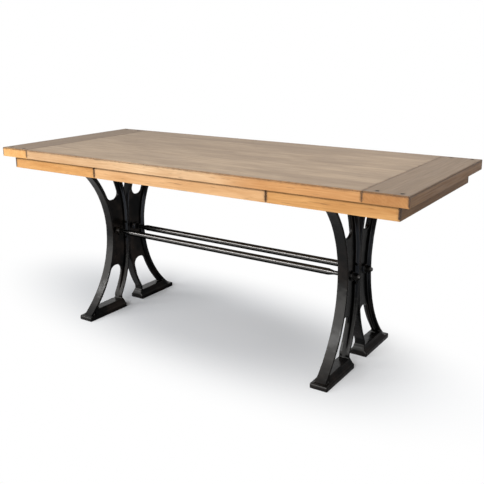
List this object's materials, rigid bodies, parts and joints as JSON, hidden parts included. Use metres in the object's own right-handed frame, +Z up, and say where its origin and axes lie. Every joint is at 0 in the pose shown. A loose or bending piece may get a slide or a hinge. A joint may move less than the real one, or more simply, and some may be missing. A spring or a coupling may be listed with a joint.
{
  "type": "trestle writing table",
  "caption": "Long writing table with a timber top, breadboard ends and a shallow centre drawer, on waisted iron trestle castings tied by steel stretcher rods.",
  "frame": {"origin": "on the floor, under the middle of the top", "axes": "+X along the table's length to its right end, +Y to the back, +Z up; the drawer opens towards -Y"},
  "size_m": [1.829, 0.762, 0.762],
  "materials": {
    "top_wood": "satin brown stain",
    "breadboard_wood": "satin brown stain",
    "peg_wood": "dark satin",
    "apron_wood": "satin honey stain",
    "inner_wood": "bare sawn timber",
    "drawer_wood": "sealed timber",
    "cast_iron": "blackened",
    "rod_steel": "dark turned steel",
    "nut_steel": "blackened steel",
    "screw_steel": "zinc"
  },
  "bodies": {
    "table": {"top_panel": "top_wood", "breadboard_left": "breadboard_wood", "breadboard_right": "breadboard_wood", "breadboard_pegs": "peg_wood", "front_apron_left": "apron_wood", "front_apron_right": "apron_wood", "back_apron": "apron_wood", "end_apron_left": "apron_wood", "end_apron_right": "apron_wood", "corner_block_front_left": "inner_wood", "corner_block_front_right": "inner_wood", "corner_block_back_left": "inner_wood", "corner_block_back_right": "inner_wood", "glue_blocks": "inner_wood", "bearer_left": "inner_wood", "bearer_right": "inner_wood", "drawer_guide_left": "inner_wood", "drawer_guide_right": "inner_wood", "drawer_runner_left": "inner_wood", "drawer_runner_right": "inner_wood", "drawer_stops": "inner_wood", "trestle_left_front": "cast_iron", "trestle_left_back": "cast_iron", "trestle_right_front": "cast_iron", "trestle_right_back": "cast_iron", "stretcher_rod_front": "rod_steel", "stretcher_rod_back": "rod_steel", "rod_inner_washers": "nut_steel", "rod_outer_washers": "nut_steel", "rod_jam_nuts": "nut_steel", "rod_end_nuts": "nut_steel", "bearer_bolts": "nut_steel", "waist_bolts": "nut_steel", "waist_nuts": "nut_steel", "bearer_screws": "screw_steel", "guide_screws": "screw_steel"},
    "drawer": {"drawer_front": "apron_wood", "drawer_side_left": "drawer_wood", "drawer_side_right": "drawer_wood", "drawer_back": "drawer_wood", "drawer_bottom": "drawer_wood"}
  },
  "joints": [
    {"name": "drawer_slide", "type": "slide", "parent": "table", "child": "drawer", "axis": [0, -1, 0], "range_m": [0, 0.32]}
  ]
}
